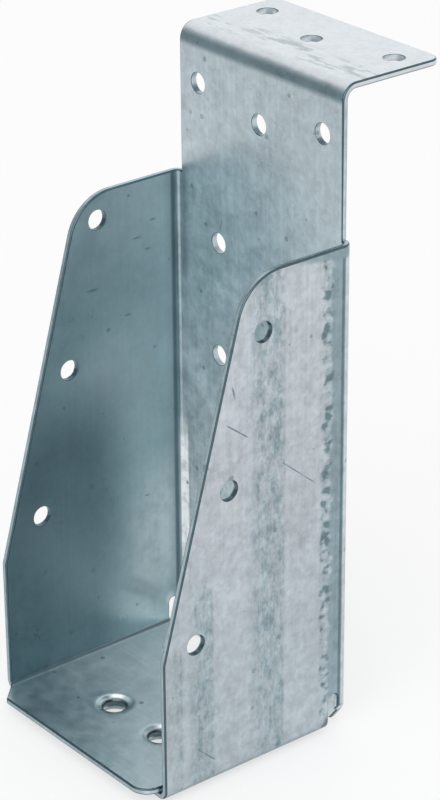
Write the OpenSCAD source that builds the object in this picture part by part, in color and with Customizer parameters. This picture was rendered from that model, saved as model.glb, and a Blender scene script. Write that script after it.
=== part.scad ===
// Top-flange joist hanger folded from one galvanised sheet.
// X runs across the joist, -Y out along it, Z up.
// Origin: middle of the plate's back face, level with the joist's bearing.

/* [Joist] */
// Width of the joist that the hanger carries
joist_w = 75; // [60:1:100]
// Clearance between the joist and each cheek
side_play = 0.5; // [0.25:0.25:1.5]
// Height from the bearing to the top of the flange
hanger_h = 200; // [180:1:240]

/* [Sheet] */
// Sheet thickness
sheet_t = 2; // [1.5:0.25:2.5]
// Inside radius of the folds between plate, cheeks and seat
bend_r = 1.5; // [1:0.25:2]
// Inside radius of the flange fold
flange_r = 3; // [2:0.5:4]

/* [Flange] */
// Reach of the flange behind the plate
flange_d = 35.3; // [32:0.1:50]
// How much narrower the plate and flange are than the pocket
plate_inset = 3; // [0:0.25:4]
// Corner radius of the flange's free edge
flange_corner_r = 4; // [2:0.5:8]

/* [Cheeks] */
// Reach of the cheeks in front of the plate's back face
cheek_d = 70.4; // [66:0.1:80]
// Distance from the top of the flange down to the top of the cheeks
cheek_drop = 46.3; // [42:0.1:54]
// Height of the cheeks' upright front edge above the bearing
shoulder_h = 41.9; // [33:0.1:45]
// Lean of the front edge above the shoulder
lean = 15.6; // [12:0.1:17]
// Radius between the leaning edge and the top edge
cheek_corner_r = 15.7; // [8:0.1:18]

/* [Seat] */
// Distance the seat's upper leaf stands out past the cheeks
nose = 5.9; // [4:0.1:7]
// Distance from the plate's back face to the seat's rear edge
seat_back = 20; // [16:1:26]
// Gap from the upper leaf's free end to the opposite cheek
upper_gap = 1; // [1:0.25:3]
// Gap from the lower leaf's free end to the opposite cheek
lower_gap = 6.5; // [5:0.5:12]
// Corner radius at the free ends of the leaves
leaf_corner_r = 6; // [3:0.5:8]
// Hairline space between the two leaves
seam = 0.15; // [0.1:0.05:0.3]

/* [Pressed joints] */
// Distance between the two pressed joints
joint_pitch = 22.7; // [18:0.1:26]
// Distance from the plate's back face to the pressed joints
joint_y = 52.5; // [46:0.5:58]
// Outer diameter of the dish around a pressed joint
mouth_d = 14.8; // [13.6:0.1:16]
// Narrowest bore of a pressed joint
eye_d = 7; // [6:0.1:7.4]
// Depth of the shallow dish around the bore
dish_h = 0.75; // [0.6:0.05:0.9]
// Radius that rolls the dish over into the bore
lip_r = 0.8; // [0.6:0.05:0.9]
// How far the joint stands below the seat
joint_drop = 1; // [0.6:0.1:1.4]

/* [Nail holes] */
// Nail hole diameter
nail_d = 6.4; // [5:0.1:7]
// Distance between the outer two holes in the flange and top of the plate
wide_pitch = 55.9; // [50:0.1:60]
// Outer flange holes, from the plate's back face
flange_hole_y = 24.6; // [22:0.1:27]
// Step from the outer flange holes towards the plate to the middle one
flange_hole_step = 6.8; // [5:0.1:9]
// Outer plate holes, below the top of the flange
plate_hole_drop = 16.5; // [14:0.1:20]
// Step down from the outer plate holes to the middle one
plate_hole_step = 5.2; // [3:0.1:7]
// Distance between the plate's two lower columns of holes
column_pitch = 37.6; // [30:0.1:44]
// Topmost hole of a column, below the top of the cheeks
column_drop = 18.1; // [14:0.1:24]
// Height between holes of a column
column_step = 36.8; // [34:0.1:40]
// Holes in each column
column_count = 3; // [2:1:3]
// Topmost hole in the left cheek, below the cheek's top
left_row_drop = 8.7; // [8:0.1:14]
// Topmost hole in the right cheek, below the cheek's top
right_row_drop = 17.8; // [14:0.1:22]
// Distance of the left cheek's topmost hole behind the leaning edge
left_row_inset = 9.1; // [8:0.1:12]
// Distance of the right cheek's topmost hole behind the leaning edge
right_row_inset = 10.6; // [9:0.1:13]
// Height between holes of a cheek
row_step = 45.5; // [42:0.1:47]
// Run forward between holes of the left cheek
left_row_run = 11.8; // [9:0.1:13]
// Run forward between holes of the right cheek
right_row_run = 12.6; // [10:0.1:13]
// Holes in each cheek
row_count = 3; // [2:1:3]

/* [Corner relief] */
// Width of the relief slot between each cheek fold and seat fold
relief_w = 3.5; // [3:0.25:5]
// Top of the relief slot above the bearing
relief_top = 7.8; // [6:0.2:10]
// Height above the bearing where the cut at each lower corner of the plate starts
plate_corner_h = 3; // [0:0.1:3.5]
// Width of that cut
plate_corner_w = 6.3; // [5:0.1:8]

/* [Hidden] */
$fn = 48;
eps = 0.01;
half_in = joist_w / 2 + side_play;
half_out = half_in + sheet_t;
half_plate = half_in - plate_inset / 2;
bend_o = bend_r + sheet_t;
flange_o = flange_r + sheet_t;
cheek_top = hanger_h - cheek_drop;
// tops of the two leaves, and the level of the joints' and plate's lower edge
upper_z = 0;
lower_z = -sheet_t - seam;
foot_z = lower_z - sheet_t - joint_drop;
// relief slot, measured from the plate's back face
relief_rear = bend_o + 0.8;
relief_front = relief_rear + relief_w;
// centre of the rounded upper front corner of a cheek
corner_z = cheek_top - cheek_corner_r;
corner_y = lean_y(corner_z) + cheek_corner_r / cos(lean);
// free ends of the leaves, and the middle of their overlap
upper_end = half_in - upper_gap;
lower_end = half_in - lower_gap;
joint_mid = (upper_end - lower_end) / 2;

// where the leaning front edge stands at height z
function lean_y(z) = -cheek_d + (z - shoulder_h) * tan(lean);

// stand a Y-Z outline up and pull it along X from x0 to x1
module along_x(x0, x1) {
    translate([x0, 0, 0])
        rotate([90, 0, 90])
            linear_extrude(height = x1 - x0)
                children();
}

// stand an X-Z outline up and pull it along Y from y0 to y1
module along_y(y0, y1) {
    translate([0, y1, 0])
        rotate([90, 0, 0])
            linear_extrude(height = y1 - y0)
                children();
}

// rectangle by its corners
module box_2d(x0, y0, x1, y1) {
    translate([x0, y0])
        square([x1 - x0, y1 - y0]);
}

// open tray seen from above, with its two rear corners rounded
module tray_2d(half_w, rear, r, reach) {
    box_2d(-half_w, -reach, half_w, rear - r);
    box_2d(-half_w + r, -reach, half_w - r, rear);
    for (side = [-1, 1])
        translate([side * (half_w - r), rear - r])
            circle(r = r);
}

// plate and cheeks seen from above
module channel_2d() {
    difference() {
        tray_2d(half_out, 0, bend_o, cheek_d + nose);
        tray_2d(half_in, -sheet_t, bend_r, cheek_d + nose + 1);
    }
}

// outline of plate and cheeks seen from the side
module cheek_outline_2d() {
    polygon([
        [eps, foot_z],
        [eps, cheek_top],
        [corner_y, cheek_top],
        [corner_y - cheek_corner_r * cos(lean), corner_z + cheek_corner_r * sin(lean)],
        [-cheek_d, shoulder_h],
        [-cheek_d, foot_z]
    ]);
    translate([corner_y, corner_z])
        circle(r = cheek_corner_r, $fn = 96);
}

// what is cut off the plate's lower right corner, seen from the front
module corner_cut_2d() {
    rise = plate_corner_h - foot_z;
    polygon([
        [half_out + plate_corner_w, plate_corner_h + rise],
        [half_out - 2 * plate_corner_w, foot_z - rise],
        [half_out + plate_corner_w, foot_z - rise]
    ]);
}

// relief slot seen from the side
module relief_2d() {
    mid = -(relief_front + relief_rear) / 2;
    box_2d(-relief_front, foot_z - 1, -relief_rear, relief_top - relief_w / 2);
    translate([mid, relief_top - relief_w / 2])
        circle(d = relief_w);
}

// nail hole along an axis, given its angles
module nail_hole(angles) {
    rotate(angles)
        cylinder(d = nail_d, h = 3 * sheet_t, center = true);
}

// plate and cheeks, down to where the seat's folds start
module walls() {
    difference() {
        intersection() {
            translate([0, 0, foot_z])
                linear_extrude(height = cheek_top - foot_z)
                    channel_2d();
            along_x(-half_out - 1, half_out + 1)
                cheek_outline_2d();
        }
        translate([-half_out - 1, -cheek_d - 1, foot_z - 1])
            cube([half_out + 1, cheek_d + 1 - relief_rear, upper_z + bend_r - foot_z + 1]);
        translate([0, -cheek_d - 1, foot_z - 1])
            cube([half_out + 1, cheek_d + 1 - relief_rear, lower_z + bend_r - foot_z + 1]);
        for (x0 = [-half_out - 1, half_in - 1])
            along_x(x0, x0 + sheet_t + 2)
                relief_2d();
        for (side = [0, 1])
            mirror([side, 0, 0])
                along_y(-(relief_front + relief_rear) / 2, 1)
                    corner_cut_2d();
    }
}

// plate above the cheeks, and the flange folded back from it
module top() {
    front_z = hanger_h - flange_o;
    translate([-half_plate, -sheet_t, cheek_top - eps])
        cube([2 * half_plate, sheet_t, front_z - cheek_top + eps]);
    along_x(-half_plate, half_plate)
        intersection() {
            translate([flange_r, front_z])
                difference() {
                    circle(r = flange_o);
                    circle(r = flange_r);
                }
            box_2d(-sheet_t, front_z, flange_r, hanger_h);
        }
    translate([0, 0, hanger_h - sheet_t])
        linear_extrude(height = sheet_t) {
            box_2d(-half_plate, flange_r, half_plate, flange_d - flange_corner_r);
            box_2d(-half_plate + flange_corner_r, flange_r, half_plate - flange_corner_r, flange_d);
            for (side = [-1, 1])
                translate([side * (half_plate - flange_corner_r), flange_d - flange_corner_r])
                    circle(r = flange_corner_r);
        }
}

// quarter bend from the left cheek into a leaf whose top is at height z
module seat_fold_2d(z) {
    intersection() {
        translate([-half_in + bend_r, z + bend_r])
            difference() {
                circle(r = bend_o);
                circle(r = bend_r);
            }
        box_2d(-half_out, z - sheet_t, -half_in + bend_r, z + bend_r);
    }
}

// leaf seen from above, rooted at the left cheek and ending at end_x,
// with its front edge standing out past the cheek
module leaf_2d(end_x, out) {
    root_x = -half_in + bend_r;
    front = cheek_d + out;
    root = out > 0 ? [[root_x, -cheek_d - bend_r], [-half_in + out, -front]] : [[root_x, -front]];
    polygon(concat(root, [
        [end_x - leaf_corner_r, -front],
        [end_x, -front + leaf_corner_r],
        [end_x, -seat_back],
        [-half_in + seat_back - relief_front, -seat_back],
        [root_x, -relief_front - bend_r]
    ]));
    translate([end_x - leaf_corner_r, -front + leaf_corner_r])
        circle(r = leaf_corner_r);
}

// upper leaf, folded in from the left cheek, with its nose past the cheeks
module upper_leaf() {
    along_y(-cheek_d, -relief_front)
        seat_fold_2d(upper_z);
    intersection() {
        along_y(-cheek_d - nose, -cheek_d + eps)
            seat_fold_2d(upper_z);
        translate([0, 0, upper_z - sheet_t])
            linear_extrude(height = bend_o)
                polygon([
                    [-half_in - eps, -cheek_d + eps],
                    [-half_in + nose, -cheek_d - nose],
                    [0, -cheek_d - nose],
                    [0, -cheek_d + eps]
                ]);
    }
    translate([0, 0, upper_z - sheet_t])
        linear_extrude(height = sheet_t)
            leaf_2d(upper_end, nose);
}

// lower leaf, folded in from the right cheek beneath the upper one
module lower_leaf() {
    mirror([1, 0, 0]) {
        along_y(-cheek_d, -relief_front)
            seat_fold_2d(lower_z);
        translate([0, 0, lower_z - sheet_t])
            linear_extrude(height = sheet_t)
                leaf_2d(lower_end, 0);
    }
}

// metal of a pressed joint: both leaves drawn down into one collar
module joint_collar() {
    translate([0, 0, lower_z - sheet_t])
        cylinder(d = mouth_d, h = -lower_z + sheet_t - eps);
    translate([0, 0, foot_z])
        cylinder(d1 = mouth_d - 3, d2 = mouth_d, h = joint_drop + eps);
}

// hollow of a pressed joint: a shallow dish that rolls over into the bore,
// and the collar's end flared out beneath
module joint_eye() {
    // the dish's arc meets the rim flat and is steepest where the lip takes over
    rim = mouth_d / 2;
    run = rim - eye_d / 2 - lip_r * 0.6;
    dish_r = (run * run + dish_h * dish_h) / (2 * dish_h);
    slope = asin(run / dish_r);
    lip_x = rim - (dish_r - lip_r) * sin(slope);
    lip_z = -dish_r + (dish_r - lip_r) * cos(slope);
    bore_r = lip_x - lip_r;
    translate([0, 0, foot_z - 1])
        cylinder(r = bore_r, h = lip_z - foot_z + 1 + eps);
    translate([0, 0, foot_z - eps])
        cylinder(r1 = bore_r + 1.4, r2 = bore_r, h = -foot_z - sheet_t - 0.9);
    rotate_extrude()
        difference() {
            box_2d(0, lip_z, rim, 1);
            intersection() {
                translate([rim, -dish_r])
                    circle(r = dish_r, $fn = 96);
                box_2d(rim - run, lip_z - 1, rim + 1, 1);
            }
            translate([lip_x, lip_z])
                circle(r = lip_r);
        }
}

module at_joints() {
    for (side = [-1, 1])
        translate([joint_mid + side * joint_pitch / 2, -joint_y, 0])
            children();
}

module nail_holes() {
    // flange and top of the plate: three each, in a shallow V
    for (i = [-1, 0, 1]) {
        step = i == 0 ? 1 : 0;
        translate([i * wide_pitch / 2, flange_hole_y - step * flange_hole_step, hanger_h - sheet_t / 2])
            nail_hole([0, 0, 0]);
        translate([i * wide_pitch / 2, -sheet_t / 2, hanger_h - plate_hole_drop - step * plate_hole_step])
            nail_hole([90, 0, 0]);
    }
    // lower part of the plate: two columns
    for (side = [-1, 1], i = [0 : column_count - 1])
        translate([side * column_pitch / 2, -sheet_t / 2, cheek_top - column_drop - i * column_step])
            nail_hole([90, 0, 0]);
    // cheeks: a row beside each leaning edge, the right one set lower
    left_z = cheek_top - left_row_drop;
    right_z = cheek_top - right_row_drop;
    left_y = lean_y(left_z) + left_row_inset;
    right_y = lean_y(right_z) + right_row_inset;
    for (i = [0 : row_count - 1]) {
        translate([-half_in - sheet_t / 2, left_y - i * left_row_run, left_z - i * row_step])
            nail_hole([0, 90, 0]);
        translate([half_in + sheet_t / 2, right_y - i * right_row_run, right_z - i * row_step])
            nail_hole([0, 90, 0]);
    }
}

module hanger() {
    color("#a9b4ba")
        difference() {
            union() {
                walls();
                top();
                upper_leaf();
                lower_leaf();
                at_joints()
                    joint_collar();
            }
            nail_holes();
            at_joints()
                joint_eye();
        }
}

hanger();
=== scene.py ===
# Top-flange joist hanger, folded from galvanised steel sheet, on a pale studio floor.
import math
import bmesh
import bpy
from mathutils import Matrix, Vector


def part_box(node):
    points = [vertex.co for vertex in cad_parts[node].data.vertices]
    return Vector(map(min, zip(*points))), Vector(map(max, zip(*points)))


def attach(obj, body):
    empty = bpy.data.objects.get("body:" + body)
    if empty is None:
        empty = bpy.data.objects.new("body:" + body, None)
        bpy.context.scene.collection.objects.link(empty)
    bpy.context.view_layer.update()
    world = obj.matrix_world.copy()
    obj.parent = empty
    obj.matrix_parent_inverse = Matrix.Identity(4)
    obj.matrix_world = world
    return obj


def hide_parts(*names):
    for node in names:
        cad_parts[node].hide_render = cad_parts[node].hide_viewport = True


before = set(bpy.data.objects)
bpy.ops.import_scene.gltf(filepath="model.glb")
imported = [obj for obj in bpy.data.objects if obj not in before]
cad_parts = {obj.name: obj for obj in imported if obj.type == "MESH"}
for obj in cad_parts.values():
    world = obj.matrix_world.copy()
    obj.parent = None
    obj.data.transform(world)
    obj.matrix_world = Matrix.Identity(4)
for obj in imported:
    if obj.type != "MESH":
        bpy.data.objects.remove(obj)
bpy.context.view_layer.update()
scene = bpy.context.scene
mm = 0.001


def hexToLinear(hexColour):
    # sRGB hex to the linear colour that shaders work in
    channels = [int(hexColour[i:i + 2], 16) / 255 for i in (1, 3, 5)]
    return [c / 12.92 if c <= 0.04045 else ((c + 0.055) / 1.055) ** 2.4 for c in channels] + [1.0]


def addNode(kind, *values, **settings):
    # adds a node to the tree in hand, with its settings. Each value fills the next open socket: a
    # link, a number or a hex colour. Values left over go on into another node like it.
    node = tree.nodes.new("ShaderNode" + kind)
    for name, value in settings.items():
        setattr(node, name, value)
    sockets = [socket for socket in node.inputs if socket.enabled]
    for socket, value in zip(sockets, values):
        if isinstance(value, bpy.types.NodeSocket):
            tree.links.new(value, socket)
        else:
            socket.default_value = hexToLinear(value) if isinstance(value, str) else value
    result = next(socket for socket in node.outputs if socket.enabled)
    left = values[len(sockets):]
    return addNode(kind, result, *left, **settings) if sockets and left else result


def towards(azimuth, elevation=0.0):
    # direction from the hanger, in degrees to the right of straight ahead and above level
    side, up = math.radians(azimuth), math.radians(elevation)
    return Vector((math.sin(side) * math.cos(up), -math.cos(side) * math.cos(up), math.sin(up)))


# ---- camera
print("camera")
cameraSet = {
    "azimuth": 51.173,    # degrees to the right of straight ahead
    "elevation": 25.523,
    "roll": -0.417,
    "distance": 0.8557,   # metres
    "target": (-0.0009, -0.0163, 0.0947),
    "lens": 129.48,
    "sensor": 36,         # mm
}
back = towards(cameraSet["azimuth"], cameraSet["elevation"])
camera = bpy.data.objects.new("camera", bpy.data.cameras.new("camera"))
camera.data.lens = cameraSet["lens"]
camera.data.sensor_width = cameraSet["sensor"]
camera.data.clip_start = 0.05
camera.data.clip_end = 20
turn = (-back).to_track_quat("-Z", "Y").to_matrix().to_4x4()
turn = turn @ Matrix.Rotation(math.radians(cameraSet["roll"]), 4, "Z")
stand = Vector(cameraSet["target"]) + back * cameraSet["distance"]
camera.matrix_world = Matrix.Translation(stand) @ turn
scene.collection.objects.link(camera)
scene.camera = camera

# ---- folded sheet
print("folded sheet")
sheetSet = {
    "edgeRound": 0.5 * mm,    # sheared edges are dulled by the zinc and by handling
    "holeRound": 0.14 * mm,   # the nail holes' rims stay crisp
    "edgeSteps": 3,
    "holeReach": 8.0 * mm,    # a rim narrower than this is a nail hole's
    "jointsBelow": 20.0 * mm,  # a round rim below this height is a pressed joint's
    "cheekFrom": 37 * mm,     # a cheek is farther than this from the middle
    "sharpAngle": 25.0,       # degrees; bends are far smoother than this from facet to facet
    "smoothAngle": 32.0,      # degrees; shading stays smooth below this
    "shortEdge": 0.2 * mm,
    "flatAngle": 0.3,         # degrees
    "tolerance": 0.002 * mm,
}


def sharpOutside(mesh):
    # edges where two faces meet sharply on the outside of the sheet
    limit = math.radians(sheetSet["sharpAngle"])
    return [edge for edge in mesh.edges
            if len(edge.link_faces) == 2 and edge.calc_face_angle_signed() > limit]


def splitRims(edges):
    # the rims of nail holes, and the sheet's other sharp edges
    rims, others, left = [], [], set(edges)
    for first in edges:
        if first not in left:
            continue
        left.discard(first)
        chain = [first]
        for edge in chain:
            for corner in edge.verts:
                for touching in corner.link_edges:
                    if touching in left:
                        left.discard(touching)
                        chain.append(touching)
        places = [corner.co for edge in chain for corner in edge.verts]
        reach = max(max(p[i] for p in places) - min(p[i] for p in places) for i in range(3))
        if reach < sheetSet["holeReach"] and min(p.z for p in places) > sheetSet["jointsBelow"]:
            rims.append(chain)
        else:
            others += chain
    return rims, others


def makeRounder(mesh, rim):
    # twice as many sides for the rim of a round hole
    middle = sum((edge.verts[0].co + edge.verts[1].co for edge in rim), Vector()) / (2 * len(rim))
    radius = sum((edge.verts[0].co - middle).length for edge in rim) / len(rim)
    for item in bmesh.ops.subdivide_edges(mesh, edges=rim, cuts=1)["geom_inner"]:
        if isinstance(item, bmesh.types.BMVert):
            item.co = middle + (item.co - middle).normalized() * radius


def roundOver(mesh, edges, radius):
    # rounds edges over; the rounding is bare steel, the second material
    bmesh.ops.bevel(mesh, geom=[edge for edge in edges if edge.is_valid], offset=radius,
                    offset_type="OFFSET", segments=sheetSet["edgeSteps"], profile=0.5,
                    affect="EDGES", material=1, clamp_overlap=False, loop_slide=True)


def roundedCopy(node, name):
    # the same sheet with its sheared edges rounded over
    mesh = bmesh.new()
    mesh.from_mesh(node.data)
    bmesh.ops.remove_doubles(mesh, verts=mesh.verts, dist=sheetSet["tolerance"])
    bmesh.ops.dissolve_limit(mesh, angle_limit=math.radians(sheetSet["flatAngle"]),
                             verts=mesh.verts, edges=mesh.edges)
    for i in range(3):
        atSharp = {corner for edge in sharpOutside(mesh) for corner in edge.verts}
        short = [edge for edge in mesh.edges if edge.calc_length() < sheetSet["shortEdge"]
                 and all(corner in atSharp for corner in edge.verts)]
        if not short:
            break
        bmesh.ops.collapse(mesh, edges=short, uvs=False)
    bmesh.ops.dissolve_degenerate(mesh, dist=sheetSet["tolerance"] / 2, edges=mesh.edges)
    for rim in splitRims(sharpOutside(mesh))[0]:
        makeRounder(mesh, rim)
    rims, others = splitRims(sharpOutside(mesh))
    rimEdges = [edge for rim in rims for edge in rim]
    atRim = set(rimEdges)
    for face in mesh.faces:
        # the cheeks' nail holes show bare steel all through the sheet
        inHole = sum(edge in atRim for edge in face.edges) >= 2 and abs(face.normal.x) < 0.1
        if inHole and abs(face.calc_center_median().x) > sheetSet["cheekFrom"]:
            face.material_index = 1
    roundOver(mesh, others, sheetSet["edgeRound"])
    roundOver(mesh, rimEdges, sheetSet["holeRound"])
    data = bpy.data.meshes.new(name)
    mesh.to_mesh(data)
    mesh.free()
    piece = bpy.data.objects.new(name, data)
    scene.collection.objects.link(piece)
    data.shade_smooth()
    data.set_sharp_from_angle(angle=math.radians(sheetSet["smoothAngle"]))
    weigh = piece.modifiers.new("faceWeights", "WEIGHTED_NORMAL")
    weigh.keep_sharp = True
    weigh.weight = 80
    return piece


foldedSheet = roundedCopy(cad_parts["hanger"], "foldedSheet")
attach(foldedSheet, "root")
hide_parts("hanger")

# ---- galvanised sheet
# strip steel with a thin hot-dip zinc coat, rolled smooth, then cut, folded and pressed: a soft
# blue-grey metal with a fine speckle, streaks along the rolling and rubbed places by the folds
print("galvanised sheet")
sheetFinish = {
    "zinc": "#BBC8CE",
    "roughness": 0.34,
    "grainSize": 1.4,         # mm; real zinc grain is near 0.5 mm, drawn coarser so that it shows
    "streakWidth": 1.1,       # mm across the rolling
    "streakLength": 45,       # mm along it
    "fleckSpacing": 9,        # mm between dark flecks
    "fleckRadius": 0.5,       # mm
}
sheetNoise = {
    # size in mm, scale of each axis (a small one draws the grain out along it), detail, roughness
    "clouds": (26, (1, 1, 1), 2.0, 0.55),           # slow changes in the zinc
    "mottle": (4.5, (1, 1, 1), 4.0, 0.6),
    "bandStreaks": (1.3, (1, 1, 0.03), 2.0, 0.55),  # these three in the dull bands
    "specks": (1.1, (1, 1, 0.45), 4.0, 0.7),
    "blotches": (3.4, (1, 1, 0.6), 3.0, 0.6),
    "wobble": (3.85, (0.6, 0.6, 1), 2.0, 0.5),      # along the rub's edges
    "chips": (2.6, (0.7, 0.7, 1), 2.0, 0.5),        # in the rub
    "creases": (2.4, (0.28, 1, 1), 3.0, 0.6),       # in the flange, beside its fold
}
sheetTones = {
    # place or mark: tone and strength, each laid over the ones before it
    # painted light and shade: right cheek's lit outside warmer, flange top paler, shaded inside
    # darker
    "outsideCheek": ("#BEC5CB", 1.0),
    "flangeTop": ("#D3D9DD", 1.0),
    "neverHandled": ("#ADC5CB", 1.0),   # inside of the left cheek and top of the seat
    # painted pools of light, and a painted white highlight beside the fold
    "pale": ("#E6ECEE", 1.0),
    "besideFold": ("#FFFFFF", 1.0),
    "shaded": ("#7F979F", 1.0),
    # painted shade over the upright bend, beside it and in the tight inside of the folds
    "dullBend": ("#8FA5AC", 0.7),
    "nearUprightFold": ("#8FA5AC", 0.5),
    "uprightCrease": ("#5F767E", 0.9),
    "lyingCrease": ("#3A5159", 0.8),
    # painted shade on faces turned down
    "underside": ("#8FA2A9", 1.0),
    "cutFace": ("#A6B6BC", 1.0),
    # painted dark reflection under the flange's bend
    "barLine": ("#6F878F", 0.75),
    # painted highlight on the joints' dishes and painted shade in their mouths
    "dish": ("#E3EAED", 0.35),
    "mouth": ("#42565D", 0.9),
    "cheekFoot": ("#9FAFB5", 1.0),
    "dullBands": ("#8FA2A9", 1.0),
    "bandBlotches": ("#7A9098", 1.0),
    "rubbed": ("#A5B4BB", 0.85),
    "rubbedRear": ("#8EA1A8", 0.95),
    "darkChips": ("#617880", 0.85),
    "paleChips": ("#BFC8CE", 0.8),
    # painted shade and a painted highlight along the right cheek's outer fold
    "foldLine": ("#60767D", 0.85),
    "foldRim": ("#CBD4D8", 0.8),
    "underTop": ("#8EA1A8", 0.9),
    "creased": ("#98A5AB", 0.65),
    "scored": ("#5E747C", 1.0),
    # painted shade along the dent
    "dented": ("#748A92", 0.32),
    # painted glint on the metal lifted at the dent's lower end
    "lifted": ("#F0F4F5", 0.7),
    "smudged": ("#5E747C", 0.55),
    "flecks": ("#6A7F87", 0.5),
}
# places below are in mm from the middle of the plate's back, level with the seat's top
sheetPlaces = {"outside": 40, "inside": 38, "plateFront": -2, "flangeTop": 200}
marks = {
    # dull streaked bands on the right cheek: front, rear (along y), top (z) and depth
    "bands": [(-37.6, -25.6, 170, 0.40), (-60.5, -52.3, 62, 0.45), (-67.5, -64.0, 48, 0.35)],
    # where the folding tool rubbed the right cheek: chipped from here, smooth from there
    "rub": (-11.4, -7.9),
    # scratches: start, end and half width
    "scratches": [((40, -47.5, 111.5), (40, -38.5, 104.5), 0.22),
                  ((40, -27.0, 93.5), (40, -13.5, 82.0), 0.16),
                  ((40, -59.5, 10.5), (40, -51.5, 3.0), 0.2),
                  ((40, -45.0, 123.0), (40, -43.6, 117.5), 0.3),
                  ((-18.4, -2, 139.3), (-16.9, -2, 144.5), 0.25)],
    # soft dent with painted shade, beside the slot behind the seat: start, end, half width and
    # fade
    "dent": ((-38, -29, 24.5), (-38, -7, 7.5), 2.6, 6.0),
    # painted glint on the metal lifted at its lower end, a painted pool of light low behind the
    # left cheek, and a paler painted patch further up: middle and reach
    "lifted": ((-38, -7.4, 8.0), (3.0, 2.6, 3.2)),
    "bloom": ((-38, -10, 34), (9, 24, 34)),
    "patch": ((-38, -28, 91), (8, 20, 26)),
    # smudges left by handling: middle, half length and half height
    "smudges": [((-38, -12, 140), 1.8, 0.6), ((-38, -35, 123), 3.0, 0.7),
                ((-38, -22, 111.5), 2.0, 0.6), ((-38, -12, 98), 0.8, 0.8),
                ((-38, -18, 135.5), 2.6, 0.5), ((-38, -14, 131), 1.6, 0.5),
                ((40, -16, 129.5), 0.9, 0.9), ((-38, -16, 48), 1.2, 0.6)],
}
joints = {
    "middles": [(-8.6, -52.5, 0), (14.1, -52.5, 0)],
    "mouth": 4.0,             # mm from the middle
    "lip": 6.0,
    "dish": 8.5,
    "depth": 0.85,
}
steel = bpy.data.materials.new("hotDipGalvanisedSheet")
steel.use_nodes = True
tree = steel.node_tree
shader = tree.nodes["Principled BSDF"]
shader.inputs["Metallic"].default_value = 1.0
surface = addNode("TexCoord").node.outputs
place = addNode("VectorMath", surface["Object"], 1 / mm, operation="SCALE")
x, y, z = addNode("SeparateXYZ", place).node.outputs
facingX, facingY, facingZ = addNode("SeparateXYZ", surface["Normal"]).node.outputs
overSide = addNode("Math", x, operation="ABSOLUTE")
facingSide = addNode("Math", facingX, operation="ABSOLUTE")


def zone(*parts):
    # masks, numbers and soft limits multiplied into one mask. A limit is a value and where it
    # starts and ends: it goes from 0 to 1 there, or with two more numbers from the first to the
    # second. With one more, which says how softly, it is 1 between the start and the end.
    together = []
    for part in parts:
        if not isinstance(part, tuple):
            together.append(part)
            continue
        value, start, end, *more = part
        spans = [(start, end, *more)]
        if len(more) == 1:
            fade = more[0]
            spans = [(start - fade, start + fade), (end + fade, end - fade)]
        together += [addNode("MapRange", value, *span, interpolation_type="SMOOTHSTEP")
                     for span in spans]
    return addNode("Math", *together, operation="MULTIPLY") if len(together) > 1 else together[0]


def spot(middle, reach):
    # 1 at a place, fading to 0 at its reach along each axis, in mm
    away = addNode("VectorMath", place, middle, operation="SUBTRACT")
    away = addNode("VectorMath", away, reach, operation="DIVIDE")
    return zone((addNode("VectorMath", away, operation="LENGTH"), 1.0, 0.2))


def scratch(start, end, halfWidth, fade=1.0):
    # thin line from one place to another
    start, end = Vector(start), Vector(end)
    along = (end - start).normalized()
    outward = Vector((0, -1, 0)) if abs(along.x) > 1e-6 else Vector((1, 0, 0))
    away = addNode("VectorMath", place, start, operation="SUBTRACT")
    run, side, depth = [addNode("VectorMath", away, direction, operation="DOT_PRODUCT")
                        for direction in (along, along.cross(outward), outward)]
    side = addNode("Math", side, operation="ABSOLUTE")
    depth = addNode("Math", depth, operation="ABSOLUTE")
    return zone((side, halfWidth * 1.6, halfWidth * 0.4),
                (run, fade, (end - start).length - fade, fade), (depth, 1.0, 0.5))


# which part of the sheet
outside, inside = sheetPlaces["outside"], sheetPlaces["inside"]
plateFront, top = sheetPlaces["plateFront"], sheetPlaces["flangeTop"]
cheekOut = zone((x, outside - 1.1, outside - 0.3), (facingX, 0.55, 0.9))
cheekIn = zone((x, 0.4 - inside, 0.1 - inside), (facingX, 0.3, 0.8))
seatTop = zone((z, 1.2, 0.4), (facingZ, 0.3, 0.8))
onPlate = zone((facingY, -0.4, -0.9))

# patterns all over the sheet
noise = {}
for name, (size, stretch, detail, rough) in sheetNoise.items():
    drawn = addNode("VectorMath", place, stretch, operation="MULTIPLY")
    noise[name] = addNode("TexNoise", drawn, 1 / size, detail, rough)
clouds, mottle, blotches = noise["clouds"], noise["mottle"], noise["blotches"]
cells = addNode("TexVoronoi", place, 1 / sheetFinish["grainSize"]).node
grain = addNode("SeparateColor", cells.outputs["Color"])
rolling = sheetFinish["streakWidth"] / sheetFinish["streakLength"]
upright = addNode("VectorMath", place, (1, 1, rolling), operation="MULTIPLY")
lying = addNode("VectorMath", place, (rolling, 1, 1), operation="MULTIPLY")
rolled = addNode("Mix", seatTop, upright, lying, data_type="VECTOR")
streaks = addNode("TexNoise", rolled, 1 / sheetFinish["streakWidth"], 3.0, 0.55)
fleckCells = addNode("TexVoronoi", place, 1 / sheetFinish["fleckSpacing"]).node
fleckSize = addNode("SeparateColor", fleckCells.outputs["Color"]).node.outputs[1]
fleckReach = 2.2 * sheetFinish["fleckRadius"] / sheetFinish["fleckSpacing"]
fleckReach = addNode("Math", fleckSize, fleckReach, operation="MULTIPLY")
masks = {
    "outsideCheek": cheekOut,
    "flangeTop": zone((z, top - 2.4, top - 0.8)),
    "neverHandled": addNode("Math", cheekIn, seatTop, operation="MAXIMUM"),
    # painted shade on faces turned down
    "underside": zone((facingZ, -0.1, -0.5)),
    "flecks": addNode("Math", fleckCells.outputs["Distance"], fleckReach, operation="LESS_THAN"),
}
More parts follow.
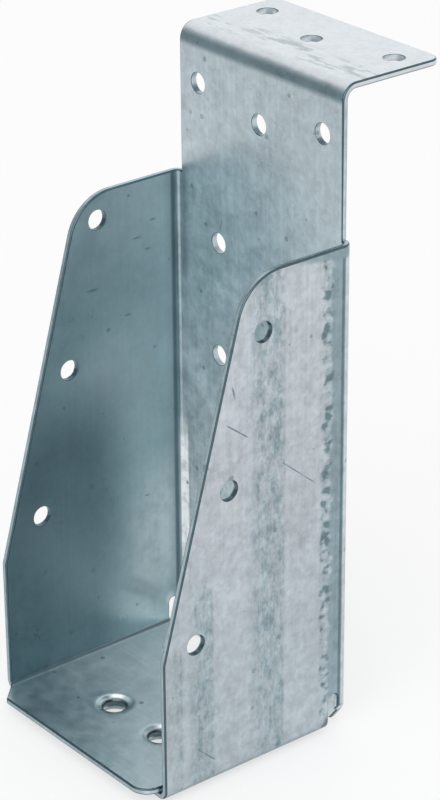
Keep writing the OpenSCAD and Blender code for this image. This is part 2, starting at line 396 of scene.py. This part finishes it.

# painted light: pale pools on the left cheek, inner seat and plate's foot; white highlight by the
# fold
bloom = zone(spot(*marks["bloom"]), (mottle, 0.25, 0.6, 0.25, 0.6))
patch = zone(spot(*marks["patch"]), (clouds, 0.3, 0.6, 0.08, 0.22))
patch = addNode("Math", patch, zone((z, 112.0, 142.0, 0.0, 0.2)), operation="MAXIMUM")
slanted = addNode("Math", y, zone(x, 0.45), operation="ADD")
seatBloom = zone(seatTop, (slanted, -95.0, -45.0, 0.15, 0.75))
plateBloom = zone(onPlate, (z, 158.0, 30.0), 0.9)
besideFold = zone((x, -inside - 0.2, -inside + 3.4, 0.6), (z, 24.0, 66.0, 10.0),
                  (y, plateFront - 1.4, plateFront - 0.6), (facingY, -0.2, -0.6))
pale = addNode("Math", zone(bloom, cheekIn), zone(patch, cheekIn), seatBloom, plateBloom,
               besideFold, operation="MAXIMUM")
masks["pale"] = pale
masks["besideFold"] = besideFold
masks["shaded"] = zone(cheekIn, (z, 102.0, 70.0), (y, -16.0, -38.0))

# painted shade in the tight inside of each fold and beside the upright one, and over its bend
atSide = (overSide, inside - 1.6, inside + 0.3, 0.1)
masks["uprightCrease"] = zone(atSide, (y, -4.9, -3.3, 0.5), (facingSide, 0.80, 0.95))
masks["nearUprightFold"] = zone(cheekIn, (y, -8.5, -4.5))
masks["dullBend"] = zone((overSide, inside - 1.8, inside + 0.3, 0.1), (y, -3.6, -1.9, 0.1),
                         (facingSide, 0.1, 0.97, 0.05), (z, 60.0, 80.0))
masks["lyingCrease"] = zone(atSide, (z, -0.3, 1.4, 0.15), (facingZ, 0.45, 0.93, 0.06))
# sheared faces, greyer than the coat: the cheeks' front and top edges and the seat's front edge
cutFront = zone((facingY, -0.6, -0.85), (y, -5.0, -6.0))
cutTop = zone((facingZ, 0.5, 0.8), (z, 20.0, top - 8, 1.0))
masks["cutFace"] = addNode("Math", cutFront, cutTop, operation="MAXIMUM")
# painted dark reflection in a band under the flange's bend
masks["barLine"] = zone((z, top - 5.6, top - 2.2, 0.9), (facingY, -0.3, -0.7))

# joints: a drawn lip bumped in, a glossier dish with a painted highlight, painted shade in the
# mouth
level = addNode("VectorMath", place, (1, 1, 0), operation="MULTIPLY")
jointAway = addNode("Math", *[addNode("VectorMath", level, middle, operation="DISTANCE")
                              for middle in joints["middles"]], operation="MINIMUM")
onSeat = zone((z, -6.0, 2.0, 0.3), (facingZ, -0.4, -0.1))
dish = zone((jointAway, joints["dish"], joints["mouth"]), onSeat)
lip = zone((jointAway, joints["lip"], joints["mouth"]), onSeat)
masks["dish"] = dish
masks["mouth"] = zone((jointAway, joints["mouth"] + 0.5, joints["mouth"] - 0.3), onSeat)

# dull bands on the right cheek, which grows a little darker in streaks towards its foot
masks["cheekFoot"] = zone(cheekOut, (z, 105.0, 25.0, 0.0, 0.36), (streaks, 0.25, 0.6, 0.7, 1.3))
bands = addNode("Math", *[zone((y, front - 2.5, front + 3.0), (y, rear + 0.5, rear - 0.5),
                               (z, high + 12, high - 12), depth)
                          for front, rear, high, depth in marks["bands"]], operation="MAXIMUM")
uneven = addNode("Math", zone((noise["bandStreaks"], 0.3, 0.7, 0.35, 0.95)),
                 zone((noise["specks"], 0.42, 0.62, -0.3, 0.95)),
                 zone((blotches, 0.48, 0.60, 0.0, 0.75)), operation="ADD")
dullBands = zone(bands, uneven, cheekOut)
masks["dullBands"] = dullBands
masks["bandBlotches"] = zone(dullBands, (blotches, 0.54, 0.68, 0.0, 0.6))

# tool's rub and painted shade and highlight by the right cheek's fold; darker below its top edge
rubFront, rubRear = marks["rub"]
rubPlace = addNode("Math", y, zone((noise["wobble"], 0.25, 0.75, 0.9, -0.9)), operation="ADD")
rubbed = zone((rubPlace, rubFront - 0.6, rubFront + 0.6), cheekOut)
rubbedRear = zone((rubPlace, rubRear - 0.8, rubRear + 0.8), cheekOut)
chipped = zone(rubbed, addNode("Math", 1.0, rubbedRear, operation="SUBTRACT"))
masks["rubbed"] = rubbed
masks["rubbedRear"] = rubbedRear
masks["darkChips"] = zone(chipped, (noise["chips"], 0.47, 0.62))
masks["paleChips"] = zone(chipped, (noise["chips"], 0.44, 0.34))
masks["foldLine"] = zone((y, -4.5, -3.5, 0.25), cheekOut)
masks["foldRim"] = zone((y, -3.4, -3.0), (x, 37.4, 38.2))
slopedTop = addNode("Math", z, zone(y, 0.12), operation="ADD")
masks["underTop"] = zone((slopedTop, 148.9, 150.6), cheekOut, (y, -26.0, -14.0))

# creases pressed into the flange, scratches, the dent with its painted shade, and smudges
creased = zone((y, 3.5, 13.0, 2.5), (z, top - 1.0, top - 0.2), (noise["creases"], 0.5, 0.6),
               (clouds, 0.42, 0.52))
scored = addNode("Math", *[scratch(*line) for line in marks["scratches"]], operation="MAXIMUM")
dented = zone(scratch(*marks["dent"]), cheekIn)
masks["creased"] = creased
masks["scored"] = zone(scored, (mottle, 0.4, 0.55, 0.35, 0.85))
masks["dented"] = dented
masks["lifted"] = zone(spot(*marks["lifted"]), cheekIn)
smudges = [spot(middle, (1.0, halfLength, halfHeight))
           for middle, halfLength, halfHeight in marks["smudges"]]
masks["smudged"] = addNode("Math", *smudges, operation="MAXIMUM")

# the tones in their order
tone = sheetFinish["zinc"]
for name, (colour, strength) in sheetTones.items():
    tone = addNode("Mix", zone(masks[name], strength), tone, colour, data_type="RGBA")

# light and dark all over, calmer on the cheeks and the seat
lively = zone((cheekIn, 0.0, 1.0, 1.0, 0.35), (cheekOut, 0.0, 1.0, 1.0, 0.95),
              (seatTop, 0.0, 1.0, 1.0, 0.4), (z, top - 10, top - 3, 1.0, 0.45))
shade = addNode("Math", zone((clouds, 0.2, 0.8, -0.10, 0.10)),
                zone((mottle, 0.2, 0.8, -0.16, 0.16)), zone((grain, 0.0, 1.0, -0.05, 0.05)),
                zone((streaks, 0.2, 0.8, -0.07, 0.07)), operation="ADD")
shade = addNode("Math", zone(shade, lively), 1.0, operation="ADD")
tone = addNode("VectorMath", tone, shade, operation="SCALE")
tree.links.new(tone, shader.inputs["Base Color"])

gloss = addNode("Math", zone((clouds, 0.25, 0.75, -0.05, 0.05)),
                zone((mottle, 0.25, 0.75, -0.05, 0.05)), sheetFinish["roughness"],
                zone(pale, 0.3), zone(dish, -0.2), zone(besideFold, 0.25), zone(dullBands, 0.12),
                operation="ADD")
tree.links.new(gloss, shader.inputs["Roughness"])

# slight waves from rolling, the zinc's grain, the creases and marks, the joints' lips, and the
# sheet's flare beside the fold; heights in mm
flare = zone((x, -36.2, -34.4, 1.0, 0.0), onPlate, besideFold)
height = addNode("Math", zone(clouds, 0.07), zone(mottle, lively, 0.012), zone(grain, 0.0012),
                 zone(creased, -0.03), zone(scored, -0.03), zone(lip, -joints["depth"]),
                 zone(flare, 0.5), zone(dented, -0.2), operation="ADD")
bump = addNode("Bump").node
bump.inputs["Distance"].default_value = mm
tree.links.new(height, bump.inputs["Height"])
tree.links.new(bump.outputs[0], shader.inputs["Normal"])
foldedSheet.data.materials.append(steel)

# ---- punched edges
# the cut edges of the same steel, burnished by the punch: darker and glossier than the zinc, which
# is worn off where an edge faces forward or up and still covers the rest
print("punched edges")
edgeFinish = {
    "bare": ("#42575E", "#5A7078"),   # dark and light places in the bare steel
    "zinc": "#B3C0C6",
    "mottleSize": 2.0,                # mm
    "roughness": (0.2, 0.3),
    "coveredFacing": (0, 1, -0.6),    # an edge that faces this way keeps its zinc
    "flangeFrom": (190, 196),         # mm; so does the flange's rim, above this
    "rimBeyond": (37.3, 33.5),        # mm to the side and back; nearer the middle are its holes
    # mm; so does the inner side of the right cheek's front edge, partly
    "innerSide": (37.7, 37.9, 38.4, 38.6),
    "innerZinc": 0.6,
}
cutEdge = bpy.data.materials.new("punchedSteelEdge")
cutEdge.use_nodes = True
tree = cutEdge.node_tree
cutShader = tree.nodes["Principled BSDF"]
cutShader.inputs["Metallic"].default_value = 1.0
surface = addNode("TexCoord").node.outputs
place = addNode("VectorMath", surface["Object"], 1 / mm, operation="SCALE")
x, y, z = addNode("SeparateXYZ", place).node.outputs
edgeNoise = addNode("TexNoise", place, 1 / edgeFinish["mottleSize"], 3.0)
bare = addNode("Mix", edgeNoise, *edgeFinish["bare"], data_type="RGBA")
rimSide, rimBack = edgeFinish["rimBeyond"]
overSide = addNode("Math", x, operation="ABSOLUTE")
overSide = addNode("Math", overSide, rimSide, operation="GREATER_THAN")
overBack = addNode("Math", y, rimBack, operation="GREATER_THAN")
atRim = addNode("Math", overSide, overBack, operation="MAXIMUM")
atFlange = zone(addNode("MapRange", z, *edgeFinish["flangeFrom"]), atRim)
unworn = addNode("VectorMath", surface["Normal"], edgeFinish["coveredFacing"],
                 operation="DOT_PRODUCT")
unworn = addNode("MapRange", unworn, 0.0, 0.4)
sideStart, sideFull, sideLast, sideEnd = edgeFinish["innerSide"]
innerSide = zone(addNode("MapRange", x, sideEnd, sideLast, 0.0, edgeFinish["innerZinc"]),
                 addNode("MapRange", x, sideStart, sideFull))
covered = addNode("Math", unworn, atFlange, innerSide, operation="MAXIMUM")
edgeTone = addNode("Mix", covered, bare, edgeFinish["zinc"], data_type="RGBA")
tree.links.new(edgeTone, cutShader.inputs["Base Color"])
edgeGloss = addNode("MapRange", edgeNoise, 0.0, 1.0, *edgeFinish["roughness"])
tree.links.new(edgeGloss, cutShader.inputs["Roughness"])
foldedSheet.data.materials.append(cutEdge)

# ---- floor, lamps and world
print("floor and light")
stageSet = {
    "paper": "#F4F4F4",
    "floorWhite": 0.6,     # share of plain white that the camera and the metal see in the floor
    "floorSize": 12,       # metres
    "middle": (0, -0.03, 0.09),
    "worldLight": 0.9,     # on the surfaces; the world itself looks plain white
}
lampSet = {
    # name: azimuth and elevation in degrees, distance, width and height in metres, brightness
    "frontBox": (38, 30, 2.4, 3.2, 2.2, 1.4),
    "backBox": (228, 28, 2.0, 1.4, 0.9, 0.12),
}
# azimuth in degrees, sizes in metres
cardSet = {"azimuth": 312, "distance": 0.7, "width": 0.75, "height": 0.81, "colour": "#B8BCBE"}
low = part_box("hanger")[0]
# white paper sweep: dull and even; the metal sees it as plain white, the camera its shadow too
floorMaterial = bpy.data.materials.new("whitePaperSweep")
floorMaterial.use_nodes = True
tree = floorMaterial.node_tree
paper = tree.nodes["Principled BSDF"]
paper.inputs["Base Color"].default_value = hexToLinear(stageSet["paper"])
paper.inputs["Roughness"].default_value = 0.9
paper.inputs["Specular IOR Level"].default_value = 0.0
rays = addNode("LightPath").node.outputs
whitened = addNode("Math", rays["Is Glossy Ray"], rays["Is Transmission Ray"],
                   rays["Is Camera Ray"], operation="MAXIMUM")
whitened = zone(whitened, stageSet["floorWhite"])
white = addNode("Emission", "#FFFFFF", 1.0)
mixed = addNode("MixShader", whitened, paper.outputs[0], white)
tree.links.new(mixed, tree.nodes["Material Output"].inputs["Surface"])
bpy.ops.mesh.primitive_plane_add(size=stageSet["floorSize"], location=(0, 0, low.z))
floor = bpy.context.object
floor.name = "floor"
floor.data.materials.append(floorMaterial)

for name, (side, up, away, width, height, bright) in lampSet.items():
    lamp = bpy.data.lights.new(name, "AREA")
    lamp.shape = "RECTANGLE"
    lamp.size, lamp.size_y = width, height
    lamp.energy = bright * width * height * math.pi
    box = bpy.data.objects.new(name, lamp)
    aim = towards(side, up)
    box.matrix_world = (Matrix.Translation(Vector(stageSet["middle"]) + aim * away)
                        @ aim.to_track_quat("Z", "Y").to_matrix().to_4x4())
    box.visible_camera = False
    scene.collection.objects.link(box)

# grey card standing at the front left, seen only by the metal
cardMaterial = bpy.data.materials.new("greyCardPaper")
cardMaterial.use_nodes = True
cardShader = cardMaterial.node_tree.nodes["Principled BSDF"]
cardShader.inputs["Base Color"].default_value = hexToLinear(cardSet["colour"])
cardShader.inputs["Roughness"].default_value = 1.0
aim = towards(cardSet["azimuth"])
across = Vector((-aim.y, aim.x, 0)) * cardSet["width"] / 2
foot = aim * cardSet["distance"] + Vector((0, 0, low.z + 1 * mm))
rise = Vector((0, 0, cardSet["height"]))
cardMesh = bpy.data.meshes.new("greyCard")
corners = [foot + across, foot - across, foot - across + rise, foot + across + rise]
cardMesh.from_pydata(corners, [], [(0, 1, 2, 3)])
cardMesh.materials.append(cardMaterial)
card = bpy.data.objects.new("greyCard", cardMesh)
scene.collection.objects.link(card)
card.visible_camera = False
card.visible_shadow = False
card.visible_diffuse = False

world = bpy.data.worlds.new("studioWorld")
world.use_nodes = True
scene.world = world
tree = world.node_tree
background = tree.nodes["Background"]
background.inputs["Color"].default_value = (1, 1, 1, 1)
rays = addNode("LightPath").node.outputs
seen = addNode("Math", rays["Is Camera Ray"], rays["Is Glossy Ray"],
               rays["Is Transmission Ray"], operation="MAXIMUM")
level = addNode("MapRange", seen, 0.0, 1.0, stageSet["worldLight"], 1.0)
tree.links.new(level, background.inputs["Strength"])

scene.view_settings.view_transform = "Standard"
